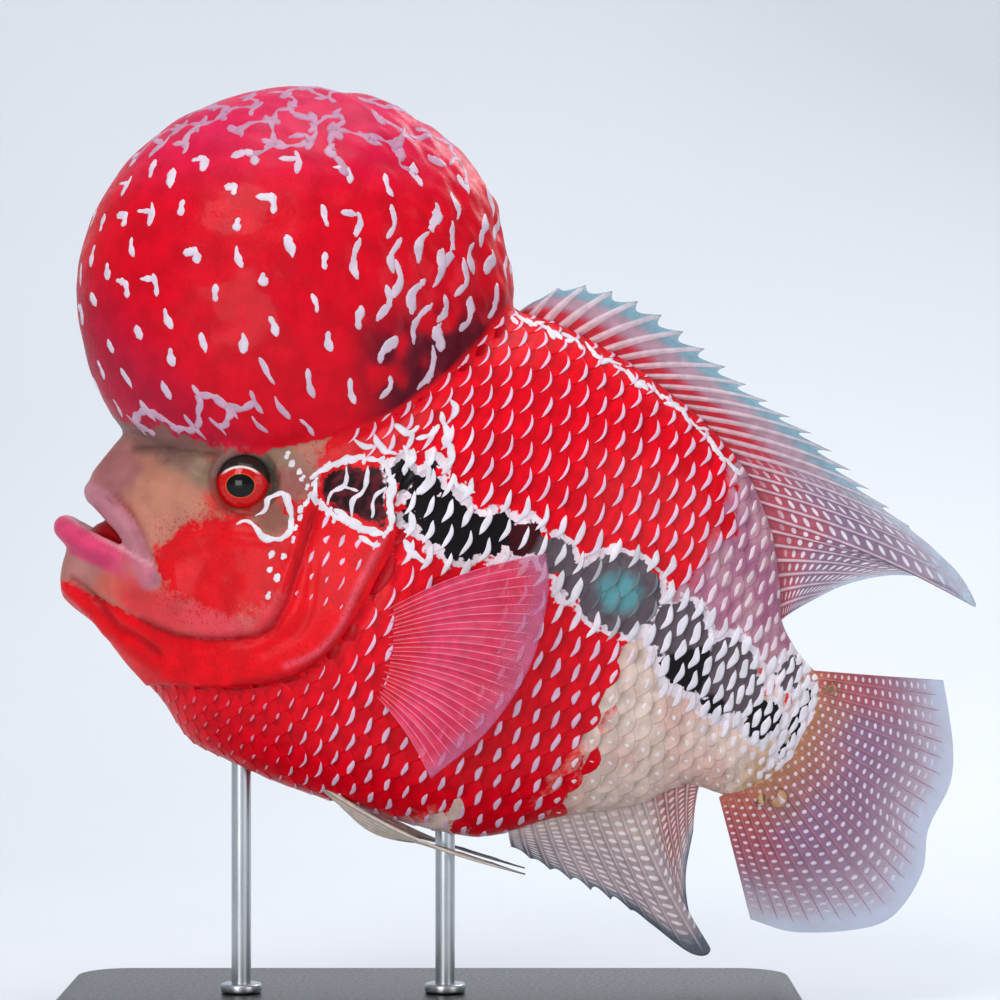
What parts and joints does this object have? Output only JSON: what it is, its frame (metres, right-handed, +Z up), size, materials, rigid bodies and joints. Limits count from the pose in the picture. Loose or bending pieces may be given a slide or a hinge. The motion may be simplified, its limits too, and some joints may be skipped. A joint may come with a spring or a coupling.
{
  "type": "flowerhorn cichlid model",
  "caption": "Life-size model of an adult flowerhorn cichlid with a large nuchal hump, spread fins and trailing fin tips, held on two rods over a flat display base.",
  "frame": {"origin": "centre of the display base's underside", "axes": "+Z up; the fish faces -X, with its left side towards -Y"},
  "size_m": [0.2474, 0.096, 0.2497],
  "materials": {
    "red_skin": "wet glossy scarlet skin and scales with pearl flecks",
    "face_skin": "wet glossy bare face skin, flesh pink to red",
    "lip_skin": "wet glossy pink lips",
    "tail_skin": "glossy cream and pearl scales",
    "fin_membrane": "thin satin membrane with rays and pearl spots",
    "pectoral_membrane": "thin clear pink membrane with rays",
    "pelvic_membrane": "satin cream membrane",
    "eye": "high gloss red iris round a black pupil",
    "stand_black": "satin black",
    "stand_metal": "brushed"
  },
  "bodies": {
    "root": {"head": "face_skin", "hump": "red_skin", "upper_lip": "lip_skin", "lower_lip": "lip_skin", "gill_cover_left": "red_skin", "gill_cover_right": "red_skin", "eye_left": "eye", "eye_right": "eye", "torso": "red_skin", "tail": "tail_skin", "dorsal_fin": "fin_membrane", "anal_fin": "fin_membrane", "caudal_fin": "fin_membrane", "pectoral_fin_left": "pectoral_membrane", "pectoral_fin_right": "pectoral_membrane", "pelvic_fin_left": "pelvic_membrane", "pelvic_fin_right": "pelvic_membrane", "stand_base": "stand_black", "stand_rod_front": "stand_metal", "stand_rod_rear": "stand_metal"}
  },
  "joints": []
}
